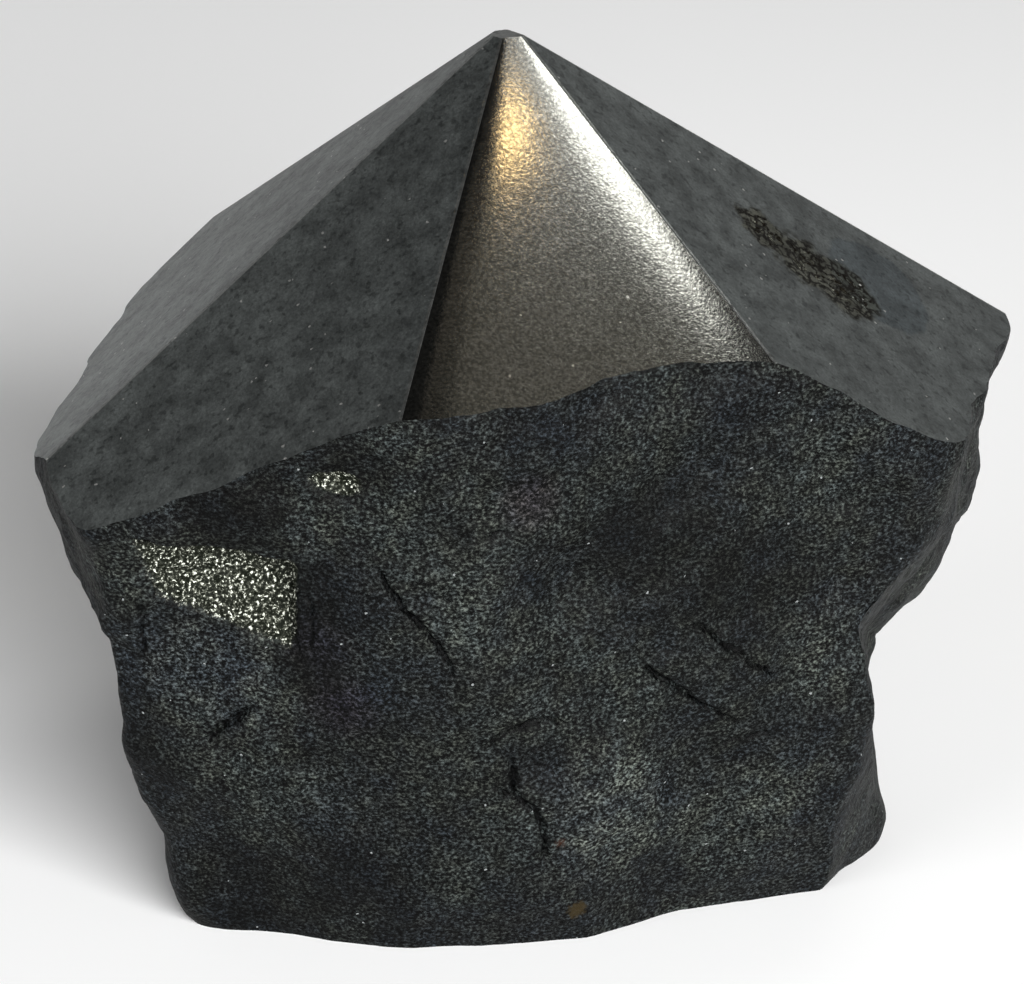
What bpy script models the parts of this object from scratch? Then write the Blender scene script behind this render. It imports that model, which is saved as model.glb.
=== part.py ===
"""A hematite point: one broken lump of iron ore with six faces ground on its top and a sawn flat base.

The stone is made the way a lapidary makes it. A block is broken to the outline of the rough, a few pieces are
knocked out of it, and its skin gets the lumps, hollows and cracks of a fracture. Last it is ground: six flat
faces that meet in a point, and a flat base to stand on.
"""
import math

import bmesh
import bpy
from mathutils import Matrix, Vector, noise

MM = 0.001
NAME = "hematite_stone"
UP = Vector((0.0, 0.0, 1.0))

# The vertical line through the point of the stone is the axis that every face is measured from. Azimuth 0 faces
# the front (-Y) and 90 the right (+X). All lengths are in mm until the mesh is finished.

# Ground faces: azimuth, slope from the horizontal, and the height where the face meets the axis.
GROUND_FACES = {
    "left": (-94.5, 41.5, 62.1),
    "front_left": (-47.0, 39.2, 61.8),
    "front": (16.0, 38.5, 61.7),
    "right": (69.5, 38.2, 62.3),
    "back_right": (130.5, 36.2, 62.2),
    "back_left": (-157.0, 38.2, 62.5),
}
# The ridges between them are a little worn, and so is the point.
RIDGE_WEAR = 0.05
POINT_HEIGHT = 61.35

# Broken faces: azimuth, undercut (how far the face leans in towards the foot, in degrees) and reach, its distance
# from the axis at the height of the shoulder, where the ground faces begin.
SHOULDER = 36.0
BROKEN_FACES = {
    "front_left": (-8.0, 11.0, 25.2),
    "front_middle": (5.0, 10.5, 24.0),
    "front_right": (20.0, 8.5, 22.0),
    "left": (-72.0, 9.6, 33.8),
    "left_chamfer": (-45.0, 12.7, 35.1),
    "left_back": (-113.0, 12.0, 30.4),
    "back_left": (-155.0, 12.0, 29.0),
    "back": (170.0, 9.0, 31.0),
    "back_right": (125.0, 15.0, 33.5),
    "right_rim": (76.0, 3.0, 32.8),
    "right_lobe": (66.0, 14.0, 33.0),
}

# Worn faces round the foot: azimuth, undercut and reach at the base itself.
FOOT_FACES = {
    "front_left": (-17.0, 17.0, 18.3),
    "front_right": (10.0, 25.0, 15.5),
    "left": (-95.0, 15.5, 20.6),
    "right": (55.0, 42.0, 22.8),
    "back": (178.0, 35.0, 20.0),
}

# Pieces knocked out where two breaks meet: what lies outside both faces is gone. Azimuth, undercut and reach, at
# the shoulder or at the height that comes last.
BREAKS = {
    "right_bite": ((88.0, -5.0, 24.2), (69.0, 34.0, 37.0)),
    "left_bite": ((-95.0, 5.0, 25.0, 24.4), (-88.5, 35.5, 27.3, 24.4)),
    "foot_chip": ((17.0, 24.0, 13.7, 0.0), (32.0, 12.0, 15.5, 0.0)),
    "rim_chip": ((78.0, 3.0, 31.8, 28.0), (78.0, 20.0, 33.5, 38.0)),
    "back_step": ((172.0, 6.0, 27.4), (175.0, -62.0, 26.0, 15.0)),
    "back_left_step": ((-150.0, 9.0, 26.6), (-95.0, 12.0, 20.5)),
}

# Shallow scoops left by a blow: azimuth, distance of the scoop's centre from the axis, its height and radius.
SCOOPS = {
    "back_right_scoop": (130.0, 54.0, 21.0, 27.0),
    "left_back_scoop": (-125.0, 50.0, 26.0, 22.0),
}

# Pits with flat walls: the face they are cut in, their corners on it as (x, height), the place on it that they are
# deepest behind, and their depth.
PITS = {
    "glitter_pocket": ("front_left", ((-24.4, 32.9), (-13.8, 31.9), (-13.9, 24.5), (-22.8, 27.8)), (-14.6, 31.0), 3.2),
    "shoulder_shelf": ("front_left", ((-12.9, 38.9), (-9.6, 37.9), (-10.0, 37.0), (-12.8, 37.7)), (-10.8, 37.9), 1.0),
}

# Cracks in the front, each a line of (x, height) points.
CRACKS = {
    "curved": ((-7.7, 30.2), (-6.1, 28.3), (-4.9, 26.7), (-3.3, 23.3)),
    "left": ((-19.6, 18.0), (-18.3, 18.9), (-17.0, 20.1)),
    "loop": ((-0.9, 17.4), (0.3, 18.8), (2.4, 19.2), (4.0, 18.7), (2.4, 17.1)),
    "stem": ((0.6, 17.0), (0.7, 13.4), (2.1, 11.9), (2.8, 7.6)),
    "right_upper": ((12.4, 25.0), (14.7, 23.4), (17.5, 20.9), (18.7, 19.4)),
    "right_lower": ((9.4, 22.2), (11.4, 20.4), (13.7, 18.4), (16.2, 16.4)),
}
CRACK_WIDTH = 0.9
CRACK_DEPTH = 0.6
# The share of its depth that a crack still has at its two ends.
CRACK_END = 0.3
# The front is where the skin faces the front (-Y) at least this much. Cracks are only there.
FRONT_NORMAL_Y = -0.5

# Broad hollows (negative) and swells of the skin: where their middle is, radius, rise.
SWELLS = {
    "upper_hollow": ((12.0, -19.0, 36.0), 5.0, -0.9),
    "middle_hollow": ((6.0, -21.0, 31.5), 5.5, -0.6),
    "low_swell": ((6.5, -17.2, 12.0), 7.0, 0.7),
    "left_swell": ((-19.0, -19.0, 15.0), 7.0, 0.6),
    "left_shoulder": ((-31.5, -6.0, 33.5), 8.0, 0.9),
    "chip_edge": ((15.0, -15.0, 10.5), 9.0, -0.7),
    "back_swell": ((-4.0, 28.0, 10.0), 9.0, 1.2),
    "side_hollow": ((-29.0, 8.0, 27.0), 8.0, -1.0),
}

# Lumps of the broken skin: how far apart they are and how high they stand.
LUMPS = ((12.0, 0.9), (5.0, 0.5), (2.6, 0.25))
LUMPS_SHIFT = Vector((-28.0, -46.0, -53.0))
# Near the foot the lumps are worn down to this share of their height, below this level.
FOOT_WEAR = 0.45
FOOT_WEAR_LEVEL = 18.0

# The longest edge that the skin's triangles may have, in general and in the strip around a crack.
EDGE_LENGTH = 2.9
CRACK_EDGE_LENGTH = 0.55
CRACK_STRIP = 0.72
# Edges flatter than this aren't edges of the shape, so the triangles there are evened out, in a few rounds.
FLAT_ANGLE = math.radians(0.5)
EVEN_ROUNDS = 4
EVEN_STEP = 0.5

# The block that all is cut from, the stone left on the ground faces until the grinding, and how much of it gets
# the skin's relief.
BLOCK_SIZE = 160.0
ROUGH_SPARE = 2.0
ROUGH_SPARE_SKIN = 1.2
# A pit's pyramid goes on past the face by this factor, so that it cuts right through the skin.
PIT_REACH = 1.6
SCOOP_ROUNDNESS = 4
MERGE_DISTANCE = 0.01

STONE_COLOUR = (0.045, 0.052, 0.053, 1.0)
STONE_ROUGHNESS = 0.55
STONE_METALLIC = 0.6


def heading(azimuth):
    """The level direction that an azimuth points in."""
    turn = math.radians(azimuth)
    return Vector((math.sin(turn), -math.cos(turn), 0.0))


def ground_plane(azimuth, slope, height):
    """A point and the outward normal of a ground face."""
    tilt = math.radians(slope)
    normal = heading(azimuth) * math.sin(tilt) + Vector((0.0, 0.0, math.cos(tilt)))
    return Vector((0.0, 0.0, height)), normal


def broken_plane(azimuth, undercut, reach, level=SHOULDER):
    """A point and the outward normal of a broken face."""
    lean = math.radians(undercut)
    normal = heading(azimuth) * math.cos(lean) - Vector((0.0, 0.0, math.sin(lean)))
    return heading(azimuth) * reach + Vector((0.0, 0.0, level)), normal


def on_face(plane, x, height):
    """The point of a face that has this x and this height."""
    point, normal = plane
    y = point.y - (normal.x * (x - point.x) + normal.z * (height - point.z)) / normal.y
    return Vector((x, y, height))


def block():
    """A block that is larger than the stone on every side, as a bmesh."""
    shape = bmesh.new()
    bmesh.ops.create_cube(shape, size=BLOCK_SIZE)
    return shape


def slice_off(shape, plane, lift=0.0, keep_outer=False):
    """Cuts the shape along a plane moved out by lift, throws one side away and closes the cut."""
    point, normal = plane
    geometry = shape.verts[:] + shape.edges[:] + shape.faces[:]
    cut = bmesh.ops.bisect_plane(
        shape, geom=geometry, plane_co=point + normal * lift, plane_no=normal,
        clear_outer=not keep_outer, clear_inner=keep_outer)
    rim = [item for item in cut["geom_cut"] if isinstance(item, bmesh.types.BMEdge)]
    bmesh.ops.contextual_create(shape, geom=rim)


def add_object(name, shape, collection):
    """Puts a bmesh into the scene as an object of its own."""
    shape.normal_update()
    bmesh.ops.recalc_face_normals(shape, faces=shape.faces)
    mesh = bpy.data.meshes.new(name)
    shape.to_mesh(mesh)
    shape.free()
    made = bpy.data.objects.new(name, mesh)
    collection.objects.link(made)
    return made


def add_cutter(name, shape, collection):
    """A helper that only cuts: it is drawn as wire and left out of renders."""
    cutter = add_object(name, shape, collection)
    cutter.hide_render = True
    cutter.display_type = "WIRE"
    return cutter


def rough_lump():
    """The rough before grinding: every broken and worn face cut flat, with some stone to spare on top and below."""
    shape = block()
    for face in BROKEN_FACES.values():
        slice_off(shape, broken_plane(*face))
    for face in FOOT_FACES.values():
        slice_off(shape, broken_plane(*face, level=0.0))
    for face in GROUND_FACES.values():
        slice_off(shape, ground_plane(*face), lift=ROUGH_SPARE)
    slice_off(shape, (Vector(), -UP), lift=ROUGH_SPARE)
    return shape


def knocked_out(first_face, second_face):
    """What lies outside both faces of a break, as a shape to take away."""
    shape = block()
    slice_off(shape, broken_plane(*first_face), keep_outer=True)
    slice_off(shape, broken_plane(*second_face), keep_outer=True)
    return shape


def scoop_shape(azimuth, distance, height, radius):
    """A ball that dips into the side of the stone."""
    shape = bmesh.new()
    bmesh.ops.create_icosphere(shape, subdivisions=SCOOP_ROUNDNESS, radius=radius)
    bmesh.ops.translate(shape, verts=shape.verts, vec=heading(azimuth) * distance + UP * height)
    return shape


def pit_shape(face, corners, deepest, depth):
    """A pyramid that stands on its point in the stone, so that its sides cut the face along the pit's outline."""
    plane = broken_plane(*BROKEN_FACES[face])
    bottom = on_face(plane, *deepest) - plane[1] * depth
    shape = bmesh.new()
    bmesh.ops.create_cone(shape, cap_ends=True, segments=len(corners), radius1=1.0, radius2=0.0, depth=1.0)
    point = max(shape.verts, key=lambda vertex: vertex.co.z)
    rim = sorted((v for v in shape.verts if v is not point), key=lambda v: -math.atan2(v.co.y, v.co.x))
    point.co = bottom
    for vertex, corner in zip(rim, corners):
        vertex.co = bottom + (on_face(plane, *corner) - bottom) * PIT_REACH
    return shape


def take_away(stone, cutter):
    """Cuts a cutter out of the stone and keeps the result as the stone's own mesh."""
    cut = stone.modifiers.new(cutter.name, "BOOLEAN")
    cut.operation = "DIFFERENCE"
    cut.object = cutter
    scene_state = bpy.context.evaluated_depsgraph_get()
    result = bpy.data.meshes.new_from_object(stone.evaluated_get(scene_state))
    stone.modifiers.clear()
    stone.data = result


def along_line(line, place):
    """How far a place is from a line of points, and how far along the line it is from the nearer end."""
    travelled, nearest, at = 0.0, math.inf, 0.0
    for start, end in zip(line, line[1:]):
        start, end = Vector(start), Vector(end)
        run = end - start
        share = min(1.0, max(0.0, (place - start).dot(run) / run.length_squared))
        distance = (place - start - run * share).length
        if distance < nearest:
            nearest, at = distance, travelled + run.length * share
        travelled += run.length
    return nearest, min(at, travelled - at)


def crack_depth(point):
    """How deep the nearest crack cuts at a point of the front. Cracks run out to nothing at their ends."""
    place = Vector((point.x, point.z))
    deepest = 0.0
    for line in CRACKS.values():
        distance, from_end = along_line(line, place)
        narrowing = min(1.0, CRACK_END + from_end / CRACK_WIDTH)
        deepest = max(deepest, CRACK_DEPTH * (1.0 - distance / (CRACK_WIDTH / 2)) * narrowing)
    return deepest


def is_near_crack(point):
    """Whether a point of the front is in the strip around a crack."""
    place = Vector((point.x, point.z))
    return any(along_line(line, place)[0] < CRACK_STRIP for line in CRACKS.values())


def swell_height(point):
    """The broad hollows and swells of the skin."""
    height = 0.0
    for middle, radius, rise in SWELLS.values():
        share = (point - Vector(middle)).length / radius
        height += rise * (1.0 - share * share) ** 2 if share < 1.0 else 0.0
    return height


def lump_height(point):
    """The lumps of the broken skin. They are worn low near the foot."""
    wear = min(1.0, max(FOOT_WEAR, point.z / FOOT_WEAR_LEVEL))
    return wear * sum(rise * noise.noise((point + LUMPS_SHIFT) / spacing) for spacing, rise in LUMPS)


def will_stay(point):
    """Whether a point of the rough is in, or close to, what is left after grinding."""
    if point.z < -ROUGH_SPARE_SKIN:
        return False
    for face in GROUND_FACES.values():
        on_plane, normal = ground_plane(*face)
        if (point - on_plane).dot(normal) > ROUGH_SPARE_SKIN:
            return False
    return True


def split_long_edges(shape):
    """Splits the longest edge of every large triangle until the skin is fine enough to take the relief."""
    bmesh.ops.triangulate(shape, faces=shape.faces)
    while True:
        chosen = set()
        for face in shape.faces:
            edge = max(face.edges, key=lambda e: e.calc_length())
            middle = (edge.verts[0].co + edge.verts[1].co) / 2
            if not will_stay(middle):
                continue
            cracked = face.normal.y < FRONT_NORMAL_Y and is_near_crack(middle)
            limit = CRACK_EDGE_LENGTH if cracked else EDGE_LENGTH
            if edge.calc_length() > limit:
                chosen.add(edge)
        if not chosen:
            return
        bmesh.ops.subdivide_edges(shape, edges=list(chosen), cuts=1, use_single_edge=True)
        bmesh.ops.triangulate(shape, faces=[face for face in shape.faces if len(face.verts) > 3])


def even_out(shape):
    """Turns and slides the flat edges of the skin until its triangles are well shaped. The breaks stay put."""
    for _ in range(EVEN_ROUNDS):
        shape.normal_update()
        flat = [e for e in shape.edges if e.calc_face_angle(math.pi) < FLAT_ANGLE]
        bmesh.ops.beautify_fill(shape, faces=shape.faces, edges=flat, method="ANGLE")
        free = [v for v in shape.verts if all(e.calc_face_angle(math.pi) < FLAT_ANGLE for e in v.link_edges)]
        bmesh.ops.smooth_vert(
            shape, verts=free, factor=EVEN_STEP, use_axis_x=True, use_axis_y=True, use_axis_z=True)


def raise_relief(shape):
    """Moves the skin along its normals by the lumps, swells and cracks."""
    shape.normal_update()
    moves = []
    for vertex in shape.verts:
        point, normal = vertex.co, vertex.normal
        height = lump_height(point) + swell_height(point)
        if normal.y < FRONT_NORMAL_Y:
            height -= crack_depth(point)
        moves.append(normal * height)
    for vertex, move in zip(shape.verts, moves):
        vertex.co += move


def roughen(stone):
    """Gives the broken faces of the stone their skin."""
    shape = bmesh.new()
    shape.from_mesh(stone.data)
    bmesh.ops.remove_doubles(shape, verts=shape.verts, dist=MERGE_DISTANCE)
    split_long_edges(shape)
    even_out(shape)
    raise_relief(shape)
    shape.to_mesh(stone.data)
    shape.free()


def ground_form():
    """What the grinding wheel and the saw leave: six flat faces with worn ridges and point, and a flat base."""
    shape = block()
    planes = [ground_plane(*face) for face in GROUND_FACES.values()]
    for plane in planes:
        slice_off(shape, plane)
    for (point, normal), (next_point, next_normal) in zip(planes, planes[1:] + planes[:1]):
        between = normal + next_normal
        distance = (normal.dot(point) + next_normal.dot(next_point)) / between.length
        between.normalize()
        slice_off(shape, (between * distance, between), lift=-RIDGE_WEAR)
    slice_off(shape, (Vector((0.0, 0.0, POINT_HEIGHT)), UP))
    slice_off(shape, (Vector(), -UP))
    return shape


def grind(stone, form):
    """Leaves of the stone only what is inside the ground form."""
    cut = stone.modifiers.new("grinding", "BOOLEAN")
    cut.operation = "INTERSECT"
    cut.object = form


def polished_and_rough():
    """The stone's own material: dark grey iron ore with a low metallic shine."""
    material = bpy.data.materials.new(NAME)
    material.use_nodes = True
    shader = material.node_tree.nodes["Principled BSDF"]
    shader.inputs["Base Color"].default_value = STONE_COLOUR
    shader.inputs["Roughness"].default_value = STONE_ROUGHNESS
    shader.inputs["Metallic"].default_value = STONE_METALLIC
    return material


def place_at_origin(stone, objects):
    """Turns mm into metres and puts the middle of the bottom of the stone's outline box on the origin."""
    scene_state = bpy.context.evaluated_depsgraph_get()
    corners = [Vector(corner) for corner in stone.evaluated_get(scene_state).bound_box]
    low = Vector(min(corner[axis] for corner in corners) for axis in range(3))
    high = Vector(max(corner[axis] for corner in corners) for axis in range(3))
    middle = Vector(((low.x + high.x) / 2, (low.y + high.y) / 2, 0.0))
    to_part = Matrix.Scale(MM, 4) @ Matrix.Translation(-middle)
    for item in objects:
        item.data.transform(to_part)


def new_collection(name):
    """A collection of the scene for one kind of object."""
    made = bpy.data.collections.new(name)
    bpy.context.scene.collection.children.link(made)
    return made


def main():
    """Breaks the rough, gives it its skin, and grinds it."""
    for leftover in list(bpy.data.objects):
        bpy.data.objects.remove(leftover, do_unlink=True)
    parts, cutters = new_collection(NAME), new_collection("cutters")
    stone = add_object(NAME, rough_lump(), parts)
    for name, faces in BREAKS.items():
        take_away(stone, add_cutter(name, knocked_out(*faces), cutters))
    for name, scoop in SCOOPS.items():
        take_away(stone, add_cutter(name, scoop_shape(*scoop), cutters))
    for name, pit in PITS.items():
        take_away(stone, add_cutter(name, pit_shape(*pit), cutters))
    roughen(stone)
    grind(stone, add_cutter("ground_form", ground_form(), cutters))
    stone.data.materials.clear()
    stone.data.materials.append(polished_and_rough())
    place_at_origin(stone, [stone, *cutters.objects])


main()
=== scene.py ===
# %% [markdown]
# # A hematite point, from the rough to the polish
# The real stone is one broken lump of iron ore. A lapidary has ground six flat faces on its top, so that
# they meet in a point, and has sawn the foot flat. This notebook makes it in the same order: break, knock
# pieces out, give the skin its grain, grind, and then look after the finish of each kind of surface.
#
# The frame comes first. It holds the stone as a plain solid of the right size, and everything is set against
# it.

# %% Load the frame
import math

import bmesh
import bpy
import numpy as np
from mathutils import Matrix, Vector, kdtree, noise


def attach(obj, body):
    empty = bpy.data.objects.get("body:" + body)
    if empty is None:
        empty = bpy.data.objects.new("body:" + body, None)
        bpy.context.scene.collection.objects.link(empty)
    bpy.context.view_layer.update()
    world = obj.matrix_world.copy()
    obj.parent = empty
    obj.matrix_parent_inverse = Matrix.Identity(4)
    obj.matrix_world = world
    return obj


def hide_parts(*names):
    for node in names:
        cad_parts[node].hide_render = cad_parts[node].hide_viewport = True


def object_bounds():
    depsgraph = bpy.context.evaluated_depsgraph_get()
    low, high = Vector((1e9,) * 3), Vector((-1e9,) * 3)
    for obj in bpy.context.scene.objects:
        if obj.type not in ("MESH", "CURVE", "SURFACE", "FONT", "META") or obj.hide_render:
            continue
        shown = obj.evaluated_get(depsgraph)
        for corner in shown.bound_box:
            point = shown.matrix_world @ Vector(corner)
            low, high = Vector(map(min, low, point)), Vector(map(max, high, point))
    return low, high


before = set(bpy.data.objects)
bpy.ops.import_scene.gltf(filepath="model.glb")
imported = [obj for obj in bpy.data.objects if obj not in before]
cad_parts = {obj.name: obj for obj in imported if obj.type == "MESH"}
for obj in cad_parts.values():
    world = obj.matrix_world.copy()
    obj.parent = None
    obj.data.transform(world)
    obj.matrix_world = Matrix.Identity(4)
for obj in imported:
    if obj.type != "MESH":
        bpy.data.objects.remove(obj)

CAD_BOX = [list(corner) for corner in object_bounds()]
STONE = "hematite_stone"
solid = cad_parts[STONE]
MM = 0.001
print("the solid's box in mm:", [[round(value / MM, 2) for value in corner] for corner in CAD_BOX])

# %% [markdown]
# ## The dimensions of the stone
# Every face is measured from one upright line, the axis that runs through the stone's point. Azimuth 0 faces
# the front and 90 the right. A ground face is given by its azimuth, its slope, and the height where its
# plane meets the axis. A broken face leans inwards towards the foot, so it has an undercut, and its reach is
# its distance from the axis at the level of the shoulder. All of it is in mm.

# %% The faces of the stone
UP = Vector((0.0, 0.0, 1.0))
GROUND_FACES = {
    "left": (-94.5, 41.5, 62.1),
    "front_left": (-47.0, 39.2, 61.8),
    "front": (16.0, 38.5, 61.7),
    "right": (69.5, 38.2, 62.3),
    "back_right": (130.5, 36.2, 62.2),
    "back_left": (-157.0, 38.2, 62.5),
}
POINT_HEIGHT = 61.35
SHOULDER = 36.0
BROKEN_FACES = {
    "front_left": (-8.0, 11.0, 25.2),
    "front_middle": (5.0, 10.5, 24.0),
    "front_right": (20.0, 8.5, 22.0),
    "left": (-72.0, 9.6, 33.8),
    "left_chamfer": (-45.0, 12.7, 35.1),
    "left_back": (-113.0, 12.0, 30.4),
    "back_left": (-155.0, 12.0, 29.0),
    "back": (170.0, 9.0, 31.0),
    "back_right": (125.0, 15.0, 33.5),
    "right_rim": (76.0, 3.0, 32.8),
    "right_lobe": (66.0, 14.0, 33.0),
}
FOOT_FACES = {
    "front_left": (-17.0, 17.0, 18.3),
    "front_right": (10.0, 25.0, 15.5),
    "left": (-95.0, 15.5, 20.6),
    "right": (55.0, 42.0, 22.8),
    "back": (178.0, 35.0, 20.0),
}


def heading(azimuth):
    """The level direction that an azimuth points in."""
    turn = math.radians(azimuth)
    return Vector((math.sin(turn), -math.cos(turn), 0.0))


def ground_plane(azimuth, slope, height):
    """A point and the outward normal of a ground face."""
    tilt = math.radians(slope)
    return UP * height, heading(azimuth) * math.sin(tilt) + UP * math.cos(tilt)


def broken_plane(azimuth, undercut, reach, level=SHOULDER):
    """A point and the outward normal of a broken face."""
    lean = math.radians(undercut)
    return heading(azimuth) * reach + UP * level, heading(azimuth) * math.cos(lean) - UP * math.sin(lean)


def on_face(plane, x, height):
    """The point of a face that has this x and this height."""
    point, normal = plane
    y = point.y - (normal.x * (x - point.x) + normal.z * (height - point.z)) / normal.y
    return Vector((x, y, height))


print(len(GROUND_FACES), "ground,", len(BROKEN_FACES), "broken and", len(FOOT_FACES), "worn faces")

# %% [markdown]
# ## Where the axis stands in the frame
# The frame's origin is the middle of the solid's box, and the axis is a little beside it. Its place is
# worked out: each ground face of the solid lies at a known distance from the axis, and six faces give six
# equations for the two unknowns, which least squares solves.

# %% Find the axis
def axis_in_frame():
    """The x and y of the stone's axis in the frame, in mm."""
    rows, distances = [], []
    for face in GROUND_FACES.values():
        point, normal = ground_plane(*face)
        triangle = max(solid.data.polygons, key=lambda polygon: polygon.normal.dot(normal))
        rows.append(normal.xy)
        distances.append(normal.dot(triangle.center / MM) - normal.dot(point))
    return np.linalg.lstsq(np.array(rows), np.array(distances), rcond=None)[0]


AXIS = Vector((*axis_in_frame(), 0.0))
print("the axis is at", [round(value, 3) for value in AXIS.xy], "mm")

# %% [markdown]
# ## Tools of the bench
# All shaping here is done as by hand: a block, cuts straight through it in edit mode, and one shape taken
# away from another. Blender's operators act on whatever is selected, so each helper first selects just what
# it means to work on. The work is done in mm, with the axis at the origin, and the finished stone is shrunk
# into the frame last.

# %% Helpers for cutting
BLOCK_SIZE = 160.0


def pick(thing):
    """Makes one object the only selected one, and the active one."""
    bpy.ops.object.select_all(action="DESELECT")
    thing.select_set(True)
    bpy.context.view_layer.objects.active = thing


def open_mesh(thing):
    """Opens one object in edit mode with all of it selected."""
    pick(thing)
    bpy.ops.object.mode_set(mode="EDIT")
    bpy.ops.mesh.select_all(action="SELECT")


def close_mesh():
    bpy.ops.object.mode_set(mode="OBJECT")


def block(name):
    """A cube that is larger than the stone on every side, open for cutting."""
    bpy.ops.object.select_all(action="DESELECT")
    bpy.ops.mesh.primitive_cube_add(size=BLOCK_SIZE)
    made = bpy.context.object
    made.name = name
    open_mesh(made)
    return made


def slice_off(plane, lift=0.0, keep_outer=False):
    """Cuts the open mesh along a plane moved out by lift, throws one side away and closes the cut."""
    point, normal = plane
    bpy.ops.mesh.select_all(action="SELECT")
    bpy.ops.mesh.bisect(
        plane_co=point + normal * lift, plane_no=normal, use_fill=True,
        clear_outer=not keep_outer, clear_inner=keep_outer)


def finish_modifier(thing, kind, **settings):
    """Adds a modifier with these settings and applies it."""
    pick(thing)
    modifier = thing.modifiers.new(kind.lower(), kind)
    for key, value in settings.items():
        setattr(modifier, key, value)
    bpy.ops.object.modifier_apply(modifier=modifier.name)


def combine(stone, other, how, **settings):
    """Takes another shape out of the stone, or leaves only what both share, and clears the other away."""
    finish_modifier(stone, "BOOLEAN", object=other, operation=how, **settings)
    bpy.data.objects.remove(other, do_unlink=True)


print("a block is", BLOCK_SIZE, "mm wide")

# %% [markdown]
# ## The rough lump
# A broken rock has flat-ish faces with blunt edges between them. Straight cuts give the faces. A voxel
# remesh then turns the lump into an even net, and the Smooth modifier wears that net down, which blunts
# every edge alike. A bevel would blunt them too, but it gets in its own way where many edges of this sort
# meet. Some stone is left to spare on the top and the foot, for the grinding.

# %% Break the rough
ROUGH_SPARE = 2.0
LUMP_NET = 1.0
LUMP_BLUNTING = 10

rough = block(STONE + "_skin")
for face in BROKEN_FACES.values():
    slice_off(broken_plane(*face))
for face in FOOT_FACES.values():
    slice_off(broken_plane(*face, level=0.0))
for face in GROUND_FACES.values():
    slice_off(ground_plane(*face), lift=ROUGH_SPARE)
slice_off((Vector(), -UP), lift=ROUGH_SPARE)
close_mesh()
finish_modifier(rough, "REMESH", mode="VOXEL", voxel_size=LUMP_NET)
finish_modifier(rough, "SMOOTH", factor=0.5, iterations=LUMP_BLUNTING)
print("the rough is", [round(value, 1) for value in rough.dimensions], "mm")

# %% [markdown]
# ## Pieces knocked out
# A blow takes a corner off along two faces that meet in a notch. Each such piece is what lies outside both
# faces, so it is a block cut twice, and a Boolean takes it from the stone. Two blows left shallow scoops,
# like those in flint, and a large ball gives these. The edges of all of them stay sharp, because they are
# younger than the rest.

# %% Knock pieces out
BREAKS = {
    "right_bite": ((88.0, -5.0, 24.2), (69.0, 34.0, 37.0)),
    "left_bite": ((-95.0, 5.0, 25.0, 24.4), (-88.5, 35.5, 27.3, 24.4)),
    "foot_chip": ((17.0, 24.0, 13.7, 0.0), (32.0, 12.0, 15.5, 0.0)),
    "rim_chip": ((78.0, 3.0, 31.8, 28.0), (78.0, 20.0, 33.5, 38.0)),
    "back_step": ((172.0, 6.0, 27.4), (175.0, -62.0, 26.0, 15.0)),
    "back_left_step": ((-150.0, 9.0, 26.6), (-95.0, 12.0, 20.5)),
}
SCOOPS = {
    "back_right_scoop": (130.0, 54.0, 21.0, 27.0),
    "left_back_scoop": (-125.0, 50.0, 26.0, 22.0),
}

for name, faces in BREAKS.items():
    piece = block(name)
    for face in faces:
        slice_off(broken_plane(*face), keep_outer=True)
    close_mesh()
    combine(rough, piece, "DIFFERENCE")
for name, (azimuth, distance, height, radius) in SCOOPS.items():
    bpy.ops.object.select_all(action="DESELECT")
    bpy.ops.mesh.primitive_ico_sphere_add(
        subdivisions=5, radius=radius, location=heading(azimuth) * distance + UP * height)
    combine(rough, bpy.context.object, "DIFFERENCE")
print(len(BREAKS), "breaks and", len(SCOOPS), "scoops leave", len(rough.data.polygons), "faces")

# %% [markdown]
# ## Two pockets with flat walls
# High on the left of the front, a flake came out along the crystal's own flat planes and left a pocket, and
# a smaller one is just under the ground face. Each wall of such a pocket is a plane through two corners of
# its mouth and its deepest point, so the pocket is a block cut once for each wall. That makes a pyramid
# standing on its tip.

# %% Cut the pockets
POCKETS = {
    "glitter_pocket": (((-25.8, 33.7), (-13.8, 32.0), (-13.9, 24.3), (-24.0, 28.4)), (-14.6, 31.0), 3.3),
    "shoulder_shelf": (((-13.5, 39.2), (-9.4, 38.1), (-9.7, 36.9), (-13.3, 37.8)), (-10.8, 37.9), 1.1),
}
POCKET_FACE = broken_plane(*BROKEN_FACES["front_left"])


def pocket_walls(corners, deepest, depth):
    """The planes of a pocket's walls, with their normals out of the pocket, and its mouth on the face."""
    mouth = [on_face(POCKET_FACE, *corner) for corner in corners]
    bottom = on_face(POCKET_FACE, *deepest) - POCKET_FACE[1] * depth
    middle = sum(mouth, Vector()) / len(mouth)
    walls = []
    for corner, next_corner in zip(mouth, mouth[1:] + mouth[:1]):
        normal = (corner - bottom).cross(next_corner - bottom).normalized()
        walls.append((bottom, normal if normal.dot(bottom - middle) > 0 else -normal))
    return walls


for name, pocket in POCKETS.items():
    piece = block(name)
    for wall in pocket_walls(*pocket):
        slice_off(wall)
    close_mesh()
    combine(rough, piece, "DIFFERENCE")
    print(name, "is", pocket[2], "mm deep")

# %% [markdown]
# ## A net fine enough for the grain
# The lump's triangles are still large. A second voxel remesh, with voxels a third of a millimetre wide,
# gives an even net over all of it and keeps the corners of the breaks. Lumps and cracks become real shape on
# it, and only the grain below that is left to bump.

# %% Refine the skin
SKIN_NET = 0.32

finish_modifier(rough, "REMESH", mode="VOXEL", voxel_size=SKIN_NET)
print("the skin has", len(rough.data.polygons), "faces")

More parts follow.
